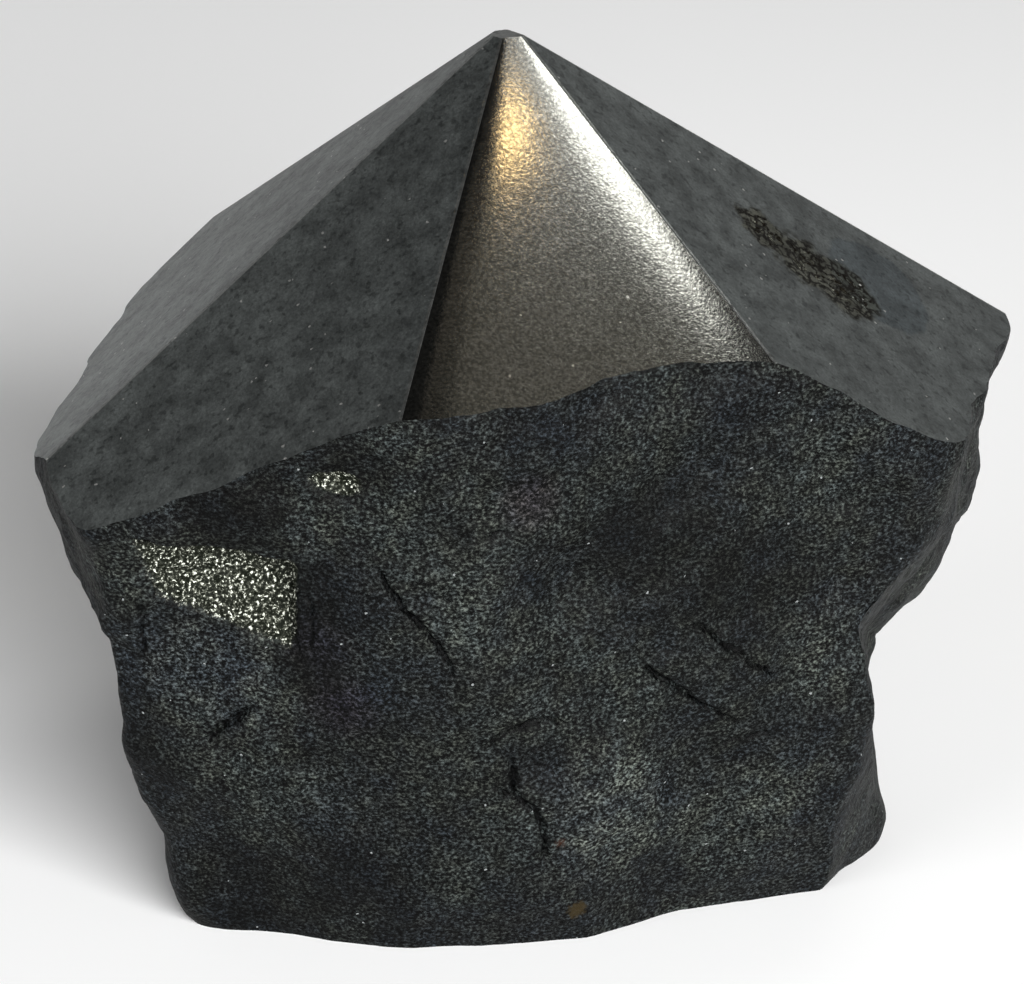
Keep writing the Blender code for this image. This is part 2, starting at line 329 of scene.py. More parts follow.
# %% [markdown]
# ## Cracks
# A crack is a line of points on the front. What each point of the skin needs to know is how far it is from
# that line and on which side, and how far along it is, because a crack runs out to nothing at its ends. Real
# cracks wander, so the points are shifted a little by noise before they are measured. Along several of these
# cracks the skin on one side also stands higher, as where a flake has lifted.

# %% The cracks of the front
CRACKS = {
    "curved": (((-8.6, 32.2), (-7.5, 30.0), (-6.1, 28.3), (-4.9, 26.7), (-3.3, 23.3)), 0.5, 0.45, 0.30),
    "left": (((-20.6, 17.0), (-18.3, 18.9), (-16.8, 20.3)), 0.85, 0.6, 0.12),
    "loop": (((-1.6, 17.2), (-0.9, 17.6), (0.3, 18.8), (2.4, 19.2), (4.3, 18.9)), 0.6, 0.45, 0.10),
    "loop_foot": (((4.0, 18.7), (2.6, 17.2), (0.9, 16.4)), 0.35, 0.22, 0.0),
    "stem": (((0.4, 17.0), (0.7, 13.4), (2.1, 11.9), (2.6, 9.6), (2.8, 7.0)), 0.7, 0.45, 0.08),
    "stem_branch": (((-0.9, 14.4), (0.2, 13.2), (1.2, 13.4)), 0.5, 0.4, 0.0),
    "right_upper": (((12.2, 25.2), (14.7, 23.4), (17.5, 20.9), (18.9, 19.2)), 0.4, 0.3, 0.15),
    "right_lower": (((9.2, 22.4), (11.4, 20.4), (13.7, 18.4), (16.4, 16.2)), 0.65, 0.45, -0.18),
    "strip": (((-13.2, 30.0), (-12.9, 27.0), (-12.7, 24.4)), 0.3, 0.2, 0.22),
    "left_chamfer": (((-24.6, 28.6), (-24.4, 26.0), (-24.6, 22.6)), 0.35, 0.25, 0.15),
    "mid_nick": (((-1.6, 33.6), (-0.4, 34.4), (1.2, 34.2)), 0.35, 0.25, 0.0),
    # The two grooves along the pocket's top and right edges are darkened in the finish as painted shadow
    # under its roof and beside its wall.
    "pocket_roof_shadow_line": (((-25.6, 33.4), (-19.5, 32.2), (-14.1, 31.2)), 0.6, 0.45, 0.0),
    "pocket_wall_shadow_line": (((-14.0, 31.0), (-13.9, 27.5), (-13.9, 24.6)), 0.6, 0.45, 0.0),
    "low_arc": (((13.5, 13.6), (16.0, 14.8), (19.0, 15.0)), 0.35, 0.2, 0.15),
}
CRACK_WANDER = 0.35
CRACK_WANDER_SPACING = 1.1
CRACK_END = 1.2
STEP_REACH = 4.0
FRONT_NORMAL_Y = -0.45


def noise_at(points, spacing, shift=(0.0, 0.0, 0.0)):
    """Smooth noise between about -1 and 1 at each of the points."""
    places = ((points + np.array(shift)) / spacing).tolist()
    return np.array([noise.noise(place) for place in places])


def smooth_rise(values, start, end):
    """0 below start, 1 above end, and an even curve between them."""
    share = np.clip((values - start) / (end - start), 0.0, 1.0)
    return share * share * (3.0 - 2.0 * share)


def beside_line(places, line):
    """How far places are from a line of points, plus to its right, and how far they are from its ends."""
    best = np.full(len(places), np.inf)
    side, at, travelled = np.zeros(len(places)), np.zeros(len(places)), 0.0
    for start, end in zip(line, line[1:]):
        start, run = np.array(start), np.subtract(end, start)
        length = np.hypot(*run)
        share = np.clip((places - start) @ run / length ** 2, 0.0, 1.0)
        gap = places - start - share[:, None] * run
        distance = np.hypot(gap[:, 0], gap[:, 1])
        nearer = distance < best
        best = np.where(nearer, distance, best)
        side = np.where(nearer, np.sign(gap[:, 0] * run[1] - gap[:, 1] * run[0]), side)
        at = np.where(nearer, travelled + length * share, at)
        travelled += length
    return best * side, np.minimum(at, travelled - at)


def crack_relief(points):
    """How far the cracks move the skin out or in, and how dark they are with dirt and painted shade."""
    wander = CRACK_WANDER * np.stack([
        noise_at(points, CRACK_WANDER_SPACING, (31.0, 0.0, 0.0)),
        noise_at(points, CRACK_WANDER_SPACING, (0.0, 47.0, 0.0))], axis=1)
    places = points[:, [0, 2]] + wander
    height, dirt = np.zeros(len(points)), np.zeros(len(points))
    for line, width, depth, step in CRACKS.values():
        distance, from_end = beside_line(places, line)
        narrowing = smooth_rise(from_end, -0.2, CRACK_END)
        groove = np.clip(1.0 - np.abs(distance) / (width / 2), 0.0, 1.0) * narrowing
        lifted = smooth_rise(distance, -width / 3, width / 3)
        lifted *= np.exp(-np.maximum(distance, 0.0) / STEP_REACH)
        near = smooth_rise(from_end, 0.0, STEP_REACH / 2)
        height += step * lifted * near * (np.abs(distance) < 3 * STEP_REACH) - depth * groove
        # The dirt mark darkens each crack: partly dirt in it, partly painted shade along it.
        dirt = np.maximum(dirt, np.clip(1.4 - np.abs(distance) / (width / 2), 0.0, 1.0) * narrowing)
    return height, dirt


print(len(CRACKS), "cracks")

# %% [markdown]
# ## A finer net along the cracks and in the pockets
# A groove half a millimetre wide needs a few rows of faces across it, and so do the bright crystal grains in
# the pockets. Only the faces there are split. A point is in a pocket where it is deeper than the broken face
# around the pocket, and within the pocket's outline seen from the front.

# %% Split the faces beside the cracks and in the pockets
CRACK_STRIP = 0.75
POCKET_RIM = (0.15, 0.4)


def places_of(mesh):
    """The places and normals of a mesh's vertices, as two arrays."""
    places, normals = (np.zeros(len(mesh.vertices) * 3, np.float32) for _ in range(2))
    mesh.vertices.foreach_get("co", places)
    mesh.vertex_normals.foreach_get("vector", normals)
    return places.reshape(-1, 3).astype(float), normals.reshape(-1, 3).astype(float)


def in_pockets(points):
    """How surely each point is inside a pocket, from 0 to 1."""
    point, normal = POCKET_FACE
    depth = (np.array(point) - points) @ np.array(normal)
    inside = np.zeros(len(points))
    for corners, _, pocket_depth in POCKETS.values():
        within = depth < pocket_depth + 1.0
        for start, end in zip(corners, corners[1:] + corners[:1]):
            run = np.subtract(end, start)
            inwards = (points[:, [0, 2]] - start) @ np.array((run[1], -run[0])) / np.hypot(*run)
            within &= inwards > -POCKET_RIM[1]
        inside = np.maximum(inside, within * smooth_rise(depth, *POCKET_RIM))
    return inside


def split_near(thing, chosen):
    """Splits the faces around the chosen vertices."""
    open_mesh(thing)
    bpy.ops.mesh.select_mode(type="VERT")
    bpy.ops.mesh.select_all(action="DESELECT")
    close_mesh()
    thing.data.vertices.foreach_set("select", chosen)
    bpy.ops.object.mode_set(mode="EDIT")
    bpy.ops.mesh.subdivide(number_cuts=1, quadcorner="INNERVERT")
    close_mesh()


points, normals = places_of(rough.data)
near_crack = np.zeros(len(points), bool)
for line, width, depth, step in CRACKS.values():
    near_crack |= np.abs(beside_line(points[:, [0, 2]], line)[0]) < CRACK_STRIP
chosen = (near_crack & (normals[:, 1] < FRONT_NORMAL_Y)) | (in_pockets(points) > 0.0)
split_near(rough, chosen)
print(int(chosen.sum()), "vertices chosen, and the skin now has", len(rough.data.polygons), "faces")

# %% [markdown]
# ## The relief of the broken skin
# A fresh break in this ore is uneven at every scale. Wide swells and hollows come from how the blow ran,
# lumps a few millimetres wide from the bands in the ore, and a coarse grain from its crystals. They are
# added up as heights along the surface's normal. The three widest octaves are the same in the solid. The
# foot has been worn by handling, so the lumps are low there.

# %% Raise the relief
SWELLS = {
    "upper_hollow": ((12.0, -19.0, 36.0), 5.0, -0.9),
    "middle_hollow": ((6.0, -21.0, 31.5), 5.5, -0.6),
    "low_swell": ((6.5, -17.2, 12.0), 7.0, 0.7),
    "left_swell": ((-19.0, -19.0, 15.0), 7.0, 0.6),
    "left_shoulder": ((-31.5, -6.5, 34.0), 8.0, 1.7),
    "left_edge": ((-30.2, -13.0, 31.0), 6.0, 0.4),
    "left_lower_edge": ((-25.5, -15.5, 14.5), 9.5, 0.85),
    "left_middle_edge": ((-28.0, -15.8, 23.5), 5.0, 0.45),
    "left_back_corner": ((-31.5, -1.0, 37.5), 6.0, 0.9),
    "left_foot": ((-22.0, -12.0, 2.5), 6.5, 1.3),
    "lobe_end": ((29.0, 4.0, 18.0), 7.0, 1.3),
    "right_corner": ((35.6, 7.1, 38.1), 5.0, 0.5),
    "right_foot": ((26.3, -0.5, 0.5), 5.0, 0.6),
    "front_girdle": ((0.5, -24.2, 43.0), 6.5, 0.75),
    "right_girdle": ((27.5, -14.0, 38.5), 8.0, 0.9),
    "chip_edge": ((15.0, -15.0, 10.5), 9.0, -0.7),
    "back_swell": ((-4.0, 28.0, 10.0), 9.0, 1.2),
    "side_hollow": ((-29.0, 8.0, 27.0), 8.0, -1.0),
}
LUMPS = ((12.0, 0.9), (5.0, 0.5), (2.6, 0.25))
LUMPS_SHIFT = (-28.0, -46.0, -53.0)
GRAIN = ((1.4, 0.11), (0.75, 0.07))
POCKET_GRAIN = ((0.9, 0.22), (0.5, 0.16))
GRAIN_SHIFT = (11.0, 5.0, 3.0)
FOOT_WEAR = 0.45
FOOT_WEAR_LEVEL = 18.0


def octaves(points, steps, shift):
    """Noise of several spacings, each with its own rise, added up."""
    return sum(rise * noise_at(points, spacing, shift) for spacing, rise in steps)


def soft_balls(points, balls, power):
    """What some balls with a soft edge add up to at each point. Each has a middle, a radius and an amount."""
    total = np.zeros(len(points))
    for middle, radius, amount in balls.values():
        share = np.linalg.norm(points - np.array(middle), axis=1) / radius
        total += amount * np.clip(1.0 - share * share, 0.0, 1.0) ** power
    return total


def set_attribute(mesh, name, values):
    """Keeps one number for each vertex under a name that a material can read."""
    made = mesh.attributes.new(name, "FLOAT", "POINT")
    made.data.foreach_set("value", values.astype(np.float32))


points, normals = places_of(rough.data)
pocket = in_pockets(points)
wear = np.clip(points[:, 2] / FOOT_WEAR_LEVEL, FOOT_WEAR, 1.0)
fine = octaves(points, GRAIN, GRAIN_SHIFT) + pocket * octaves(points, POCKET_GRAIN, GRAIN_SHIFT)
height = soft_balls(points, SWELLS, 2) + wear * (octaves(points, LUMPS, LUMPS_SHIFT) + fine)
front = smooth_rise(-normals[:, 1], -FRONT_NORMAL_Y - 0.1, -FRONT_NORMAL_Y + 0.1)
crack_height, dirt = crack_relief(points)
moved = points + normals * (height + front * crack_height)[:, None]
rough.data.vertices.foreach_set("co", moved.astype(np.float32).ravel())
rough.data.update()
# The crack mark goes to the finish, which darkens the cracks with dirt and painted shade.
set_attribute(rough.data, "dirt", front * dirt)
set_attribute(rough.data, "pocket", pocket)
print("the relief goes from", round(height.min(), 2), "to", round(height.max(), 2), "mm")

# %% [markdown]
# ## What the wheel and the saw leave
# The ground form is a block with six planes cut on its top, a small flat where the point is blunt, and a
# narrow strip along each ridge, where handling has worn it. On the real stone the faces aren't true planes:
# they were held against the wheel by hand, so each bulges a little and rolls off towards its ridges. That
# roll is what spreads the light across the front face, so it is real shape, and the faces need a net to
# bend.

# %% Cut the ground form
FORM_MARGIN = 3.0
FORM_TOP = 70.0
VISIBLE_RIDGE_WEAR = 0.035


def between(first, second):
    """The plane through the ridge of two planes that leans the same way against both."""
    normal = first[1] + second[1]
    distance = (first[1].dot(first[0]) + second[1].dot(second[0])) / normal.length
    normal.normalize()
    return normal * distance, normal


width, depth = (CAD_BOX[1][axis] / MM * 2 + 2 * FORM_MARGIN for axis in range(2))
bpy.ops.object.select_all(action="DESELECT")
bpy.ops.mesh.primitive_cube_add(
    size=1.0, location=(-AXIS.x, -AXIS.y, FORM_TOP / 2), scale=(width, depth, FORM_TOP))
form = bpy.context.object
bpy.ops.object.transform_apply(location=True, rotation=False, scale=True)
open_mesh(form)
ground_planes = [ground_plane(*face) for face in GROUND_FACES.values()]
for plane in ground_planes:
    slice_off(plane)
for plane, next_plane in zip(ground_planes, ground_planes[1:] + ground_planes[:1]):
    slice_off(between(plane, next_plane), lift=-VISIBLE_RIDGE_WEAR)
slice_off((UP * POINT_HEIGHT, UP))
bpy.ops.mesh.select_all(action="SELECT")
bpy.ops.mesh.quads_convert_to_tris()
close_mesh()
print("the ground form has", len(form.data.polygons), "triangles")

# %% [markdown]
# ## A net for the ground faces
# Only long edges are split, each time at the middle of a triangle's longest edge, until none is longer than
# the place allows. That keeps the triangles well shaped and puts them where the shape bends: on the front
# face, and in the pitted patch of the right face. The sides and the foot of the form stay coarse.

# %% Split the long edges
FACE_NET = 1.2
FRONT_NET = 0.5
PIT_NET = 0.16
COARSE_NET = 25.0
MOST_ROUNDS = 40
TOUCHING = 0.002
PITTED_PATCH = (((17.6, -3.2, 48.0), 1.9), ((20.8, -3.6, 46.0), 1.9), ((23.6, -3.6, 43.9), 2.3))
FRONT, RIGHT = (list(GROUND_FACES).index(name) for name in ("front", "right"))


def below_planes(points):
    """How far each point is below each of the six ground planes, one column for each."""
    gaps = [(np.array(point) - points) @ np.array(normal) for point, normal in ground_planes]
    return np.stack(gaps, axis=1)


def in_patch(points):
    """How deep in the pitted patch each point is: 1 in its middle and 0 outside."""
    inside = np.zeros(len(points))
    for middle, radius in PITTED_PATCH:
        distance = np.linalg.norm(points - np.array(middle), axis=1)
        inside = np.maximum(inside, 1.0 - smooth_rise(distance, radius * 0.6, radius))
    return inside


def net_size(points):
    """The longest edge that is allowed at each point of the form."""
    below = below_planes(points)
    size = np.where(below.min(axis=1) < TOUCHING, FACE_NET, COARSE_NET)
    size = np.where(below[:, FRONT] < TOUCHING, FRONT_NET, size)
    return np.where((below[:, RIGHT] < TOUCHING) & (in_patch(points) > 0.0), PIT_NET, size)


def longest_edges(mesh):
    """For each triangle its longest edge, and that edge's length and middle."""
    places, _ = places_of(mesh)
    ends, loops = np.zeros(len(mesh.edges) * 2, int), np.zeros(len(mesh.loops), int)
    mesh.edges.foreach_get("vertices", ends)
    mesh.loops.foreach_get("edge_index", loops)
    ends = ends.reshape(-1, 2)
    lengths = np.linalg.norm(places[ends[:, 0]] - places[ends[:, 1]], axis=1)
    sides = loops.reshape(-1, 3)
    longest = sides[np.arange(len(sides)), lengths[sides].argmax(axis=1)]
    return longest, lengths[longest], places[ends[longest]].mean(axis=1)


def split_long_edges(thing):
    """Splits the longest edges, round by round, until each is as short as its place asks."""
    open_mesh(thing)
    bpy.ops.mesh.select_mode(type="EDGE")
    close_mesh()
    for _ in range(MOST_ROUNDS):
        mesh = thing.data
        edges, lengths, middles = longest_edges(mesh)
        chosen = np.zeros(len(mesh.edges), bool)
        chosen[edges[lengths > net_size(middles)]] = True
        if not chosen.any():
            return
        open_mesh(thing)
        bpy.ops.mesh.select_all(action="DESELECT")
        close_mesh()
        mesh.edges.foreach_set("select", chosen)
        bpy.ops.object.mode_set(mode="EDIT")
        bpy.ops.mesh.subdivide(number_cuts=1, ngon=False)
        bpy.ops.mesh.select_all(action="SELECT")
        bpy.ops.mesh.quads_convert_to_tris()
        close_mesh()


split_long_edges(form)
print("the ground form now has", len(form.data.polygons), "triangles")

# %% [markdown]
# ## The roll of the ground faces
# Near its two ridges each ground face rolls off, and the line along which it starts to roll runs straight up
# to the stone's point. So the bulge at a place depends on the share of the face's width that lies between it
# and each ridge, times the width there. Its two ridges stay where they are. A little waviness is left from
# the hand.

# %% Let the ground faces bulge
FRONT_BULGE, PLAIN_BULGE = 0.052, 0.010
FRONT_ROLL_SHARES, PLAIN_ROLL_SHARES = (0.09, 0.17), (0.10, 0.10)
WAVINESS = 0.02
WAVE_SPACING = 14.0
PIT_LINES = 0.85
PIT_LINE_WIDTH = 0.13
PIT_LINE_DEPTH = 0.09
PIT_SINK = 0.05


def bulge_of(below, index):
    """How far a ground face stands out between its two ridges."""
    towards_left, towards_right = below[:, index - 1], below[:, (index + 1) % len(GROUND_FACES)]
    width = towards_left + towards_right + 1e-9
    left_share, right_share = FRONT_ROLL_SHARES if index == FRONT else PLAIN_ROLL_SHARES
    left_roll = 1.0 - np.exp(-towards_left / width / left_share)
    right_roll = 1.0 - np.exp(-towards_right / width / right_share)
    return (FRONT_BULGE if index == FRONT else PLAIN_BULGE) * width * left_roll * right_roll


def pit_lines(points):
    """Winding little grooves: 1 in the middle of a groove and 0 between them."""
    return np.clip(1.0 - np.abs(noise_at(points, PIT_LINES, (3.0, 1.0, 4.0))) / PIT_LINE_WIDTH, 0.0, 1.0)


points, normals = places_of(form.data)
below = below_planes(points)
touching = below < TOUCHING
height, patch, grooves = np.zeros(len(points)), in_patch(points), pit_lines(points)
for index in range(len(GROUND_FACES)):
    own = touching[:, index] & (touching.sum(axis=1) == 1)
    edge_fade = 1.0 - np.exp(-np.delete(below, index, axis=1).min(axis=1))
    waves = WAVINESS * noise_at(points, WAVE_SPACING, (float(index), 7.0, 9.0)) * edge_fade
    face_height = bulge_of(below, index) + waves
    normal = np.array(ground_planes[index][1])
    pitted = (index == RIGHT) * patch * (PIT_LINE_DEPTH * grooves + PIT_SINK)
    points[own] += (normal * (face_height - pitted)[:, None])[own]
form.data.vertices.foreach_set("co", points.astype(np.float32).ravel())
form.data.update()
# The pits' grooves are kept as a mark that the finish darkens: partly dirt, partly painted shade.
set_attribute(form.data, "dirt", np.where(touching[:, RIGHT], patch * grooves, 0.0))
set_attribute(form.data, "pocket", np.where(touching[:, RIGHT], patch, 0.0))
print("the front face bulges by", round(float(bulge_of(below, FRONT)[touching[:, FRONT]].max()), 2), "mm")

# %% [markdown]
# ## Finishes, one for each kind of surface
# Each surface of the stone has been made in another way, so each has a material of its own: the broken rock
# with its grain and painted glints, the ground faces with their satin metal sheen, the front face that is
# polished a little further, the worn strips along the ridges, paler as a painted highlight, and the sawn
# foot.
# The faces are told apart first, because the Boolean can carry the materials over from the shapes it joins.

# %% Name the finishes
FINISHES = {name: bpy.data.materials.new(name) for name in (
    "broken_rock", "ground_face", "polished_front_face", "worn_ridge_highlight", "sawn_base")}


def give_finish(thing, names, face_numbers):
    """Puts several finishes on one object, and says which face has which."""
    for name in names:
        thing.data.materials.append(FINISHES[name])
    thing.data.polygons.foreach_set("material_index", face_numbers)


give_finish(rough, ["broken_rock"], np.zeros(len(rough.data.polygons), int))
ends = np.zeros(len(form.data.loops), int)
form.data.loops.foreach_get("vertex_index", ends)
on_plane = touching[ends.reshape(-1, 3)].all(axis=1)
numbers = np.full(len(form.data.polygons), 2)
numbers[on_plane.any(axis=1)] = 0
numbers[on_plane[:, FRONT]] = 1
centres = np.zeros(len(form.data.polygons) * 3, np.float32)
form.data.polygons.foreach_get("center", centres)
numbers[(centres.reshape(-1, 3)[:, 2] < TOUCHING)] = 3
give_finish(form, ["ground_face", "polished_front_face", "worn_ridge_highlight", "sawn_base"], numbers)
print("faces with each finish on the form:", np.bincount(numbers).tolist())

# %% [markdown]
# ## Grinding
# The stone is what the rough lump and the ground form share, so one Boolean does the grinding, the sawing
# and the point. The ground faces stay crisp against the broken skin, as on the real stone. Faces that meet
# at a slight angle are shaded smooth, and the ridges between the ground faces are marked sharp.

# %% Grind and saw
MOST_TRIANGLES = 190000
THINNING_START = 4.0
WEIGHT_STEPS = 4
RIDGE_ANGLE = math.radians(7.0)
SKIN_ANGLE = math.radians(75.0)
MARKS = ("dirt", "pocket")


def marks_of(things):
    """All the points of some objects in a search tree, with the marks that each point carries."""
    places = np.concatenate([places_of(thing.data)[0] for thing in things])
    tree = kdtree.KDTree(len(places))
    for number, place in enumerate(places.tolist()):
        tree.insert(place, number)
    tree.balance()
    marks = {}
    for name in MARKS:
        parts = [np.zeros(len(thing.data.vertices), np.float32) for thing in things]
        for thing, part in zip(things, parts):
            thing.data.attributes[name].data.foreach_get("value", part)
        marks[name] = np.concatenate(parts)
    return tree, marks


def carry_marks(thing, tree, marks):
    """Gives every point of the cut stone the marks of the point that it came from."""
    nearest = np.array([tree.find(place)[1] for place in places_of(thing.data)[0].tolist()])
    for name in MARKS:
        thing.data.attributes.remove(thing.data.attributes[name])
        set_attribute(thing.data, name, marks[name][nearest])


marks_before = marks_of([rough, form])
combine(rough, form, "INTERSECT", solver="EXACT", material_mode="TRANSFER")
stone = rough


def thin_the_back(thing):
    """Takes triangles off the side that faces away, where the fine grain matters least."""
    weights = np.clip(places_of(thing.data)[0][:, 1] / THINNING_START, 0.0, 1.0)
    group = thing.vertex_groups.new(name="back")
    for step in range(1, WEIGHT_STEPS + 1):
        numbers = np.nonzero(np.ceil(weights * WEIGHT_STEPS) == step)[0].tolist()
        group.add(numbers, step / WEIGHT_STEPS, "REPLACE")
    triangles = sum(len(face.vertices) - 2 for face in thing.data.polygons)
    finish_modifier(thing, "DECIMATE", ratio=min(1.0, MOST_TRIANGLES / triangles), vertex_group="back")
    thing.vertex_groups.clear()
    return triangles


before = thin_the_back(stone)
carry_marks(stone, *marks_before)
print("thinned from", before, "triangles")


def mark_sharp_edges(thing):
    """Shades the skin smooth, and keeps the ridges and the sharpest breaks as they are."""
    shape = bmesh.new()
    shape.from_mesh(thing.data)
    bmesh.ops.triangulate(shape, faces=shape.faces[:])
    for edge in shape.edges:
        kinds = {face.material_index for face in edge.link_faces}
        limit = SKIN_ANGLE if kinds == {0} else RIDGE_ANGLE
        edge.smooth = len(kinds) == 1 and edge.calc_face_angle(0.0) < limit
    for face in shape.faces:
        face.smooth = True
    shape.to_mesh(thing.data)
    shape.free()


mark_sharp_edges(stone)
print("the stone has", len(stone.data.polygons), "triangles in", len(stone.data.materials), "finishes")

# %% [markdown]
# ## Stains
# The broken rock isn't one colour all over. In the photograph some areas are darker, some paler, and a few
# have a faint violet tinge, each a few mm wide. Such a broad stain needs no texture: each point of the mesh
# gets a number for how strong the stain is there, and the material reads it.

# %% Stain the broken rock
STAINS = {
    "upper_dark": ((9.0, -19.2, 32.8), 5.5, -0.75),
    "right_dark": ((12.5, -17.8, 30.0), 5.5, -0.55),
    "lower_right_dark": ((17.0, -15.8, 26.5), 6.0, -0.60),
    "over_the_pocket": ((-17.5, -23.3, 35.6), 4.5, -1.20),
    "under_the_girdle": ((-10.5, -24.3, 39.0), 4.0, -0.75),
    "beside_the_pocket": ((-13.9, -22.4, 29.5), 3.6, -1.20),
    "below_the_pocket": ((-13.2, -21.3, 23.6), 3.0, -0.90),
    "bottom_dark": ((-17.2, -14.8, 2.9), 6.5, -0.80),
    "bottom_middle_dark": ((-10.5, -17.3, 4.6), 5.5, -0.55),
    "left_dark": ((-24.4, -17.4, 15.0), 3.5, -0.70),
    "middle_pale": ((-7.5, -22.4, 23.0), 4.5, 0.25),
    "low_pale": ((7.4, -16.8, 10.6), 7.0, 1.05),
    "low_right_pale": ((18.5, -11.8, 8.0), 8.0, 0.45),
    "lower_left_pale": ((-12.0, -18.9, 12.7), 3.5, 0.45),
    "left_pale": ((-19.2, -19.8, 22.8), 6.0, 0.95),
    "girdle_pale": ((24.0, -15.0, 37.5), 5.0, 0.30),
    "right_pale": ((23.1, -12.2, 21.7), 6.0, 0.40),
    "centre_pale": ((-2.0, -23.5, 28.5), 5.5, 0.45),
    "chamfer_pale": ((24.5, -4.0, 4.0), 4.5, 0.35),
    "left_edge_pale": ((-25.5, -18.6, 23.4), 4.0, 0.45),
}
VIOLET_STAINS = {
    "left_violet": ((-11.0, -21.2, 20.8), 3.2, 1.0),
    "upper_violet": ((1.7, -22.9, 36.4), 2.6, 1.0),
    "shoulder_violet": ((-13.0, -22.5, 25.5), 3.0, 0.8),
}

points = places_of(stone.data)[0]
set_attribute(stone.data, "pale", soft_balls(points, STAINS, 1))
set_attribute(stone.data, "violet", soft_balls(points, VIOLET_STAINS, 1))
print(len(STAINS) + len(VIOLET_STAINS), "stains")

# %% [markdown]
# ## Into the frame
# The stone is finished in mm around its axis. It is now moved so that the axis stands where the frame has it
# and shrunk to metres, and both are applied to the mesh, so that the object itself sits at the origin.

# %% Put the stone in the frame
pick(stone)
stone.location = AXIS * MM
stone.scale = (MM, MM, MM)
bpy.ops.object.transform_apply(location=True, rotation=False, scale=True)
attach(stone, "root")
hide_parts(STONE)
print("in the frame, in mm:", [round(value / MM, 2) for value in stone.dimensions])

# %% [markdown]
# ## Helpers for finishes
# A finish is a chain of nodes. One helper adds a node: it sets it up, fills its inputs with fixed values or
# with other nodes' outputs, and gives back one of its own outputs. The others are made from it, so that a
# finish below reads like a recipe. The place is read in Object coordinates, which stay with the stone when
# it turns, and is counted in mm from the stone's axis.

# %% Nodes for place, noise and marks
def fill(tree, socket, value):
    """Links a socket to another node's output, or sets it to a value, a place or a colour."""
    if isinstance(value, bpy.types.NodeSocket):
        tree.links.new(value, socket)
    elif isinstance(value, (int, float)) or len(socket.default_value) == len(value):
        socket.default_value = value
    else:
        socket.default_value = (*value, 1.0)


def node(tree, kind, output, inputs, **settings):
    """Adds one node with its settings and inputs, and gives back one of its outputs."""
    made = tree.nodes.new("ShaderNode" + kind)
    for name, value in settings.items():
        setattr(made, name, value)
    for name, value in inputs.items():
        fill(tree, made.inputs[name], value)
    return made.outputs[output]


def start_finish(name):
    """Gives a finish its shader, and the place on the stone in mm."""
    FINISHES[name].use_nodes = True
    tree = FINISHES[name].node_tree
    place = node(tree, "TexCoord", "Object", {})
    place = node(tree, "Mapping", "Vector", {"Vector": place, "Scale": (1.0 / MM,) * 3, "Location": -AXIS})
    return tree, tree.nodes["Principled BSDF"], place


def noise_texture(tree, place, scale, detail=2.0, shift=0.0, stretch=(1.0, 1.0, 1.0), roughness=0.5):
    """Noise of so many grains per mm. A shift gives another pattern of the same kind."""
    shifted = (shift, shift * 0.7, -shift)
    place = node(tree, "Mapping", "Vector", {"Vector": place, "Location": shifted, "Scale": stretch})
    return node(tree, "TexNoise", "Fac", {
        "Vector": place, "Scale": scale, "Detail": detail, "Roughness": roughness})


def attribute(tree, name):
    """A number that each point of the mesh carries."""
    return node(tree, "Attribute", "Fac", {}, attribute_name=name)


print("helpers for place, noise and marks are ready")

# %% [markdown]
# Colours come from ramps and blends, and masks from sums. Blender's Mix node has inputs for numbers, places
# and colours under the same names, so its colour inputs are called by their numbers, 6 and 7.

# %% Nodes for colour and sums
def ramp(tree, value, stops):
    """Turns a value into a colour or a grey by a row of stops."""
    made = tree.nodes.new("ShaderNodeValToRGB")
    elements = made.color_ramp.elements
    while len(elements) < len(stops):
        elements.new(0.5)
    for element, (position, colour) in zip(elements, stops):
        element.position = position
        element.color = (colour,) * 3 + (1.0,) if isinstance(colour, (int, float)) else (*colour, 1.0)
    tree.links.new(value, made.inputs["Fac"])
    return made.outputs["Color"]


def blend(tree, how, amount, first, second):
    """Mixes two colours by an amount."""
    return node(tree, "Mix", 2, {6: first, 7: second, 0: amount}, data_type="RGBA", blend_type=how)


def maths(tree, how, first, second):
    """Does a sum with two values."""
    return node(tree, "Math", 0, {0: first, 1: second}, operation=how)


print("helpers for colour and sums are ready")

# %% [markdown]
# Three patterns of this stone need more than one node. Single bright grains are painted glints: they come
# from a cell pattern in which each cell has its own chance value, and only the luckiest light up. A patch is
# a ball of a few mm with a ragged edge. Relief chains bumps from coarse to fine, each given in mm.

# %% Grains, patches and relief
PATCH_LUMPS = 1.6


def painted_glints(tree, place, scale, share):
    """A mask of painted glints, with only that share of the grains in it."""
    grains = node(tree, "TexVoronoi", "Color", {"Vector": place, "Scale": scale})
    chance = node(tree, "SeparateColor", "Red", {"Color": grains})
    return maths(tree, "GREATER_THAN", chance, 1.0 - share)


def patch_near(tree, place, centre, radius, edge, ragged):
    """A patch around a point: 1 inside the radius, fading out over the edge, all in mm."""
    jitter = node(tree, "TexNoise", "Color", {"Vector": place, "Scale": PATCH_LUMPS / radius, "Detail": 2.0})
    nudged = node(tree, "VectorMath", 0, {0: jitter, 1: (ragged,) * 3, 2: place}, operation="MULTIPLY_ADD")
    middle = [value + 0.5 * ragged for value in centre]
    gap = node(tree, "VectorMath", "Value", {0: nudged, 1: middle}, operation="DISTANCE")
    return node(tree, "MapRange", "Result", {
        "Value": gap, "From Min": radius + edge, "From Max": radius}, interpolation_type="SMOOTHSTEP")


def raise_relief(tree, shader, heights):
    """Chains bumps, coarse to fine. Each is a height from 0 to 1 and how many mm it rises."""
    below = {}
    for height, rise in heights:
        below = {"Normal": node(tree, "Bump", "Normal", {"Height": height, "Distance": rise * MM, **below})}
    fill(tree, shader.inputs["Normal"], below["Normal"])


print("helpers for grains, patches and relief are ready")
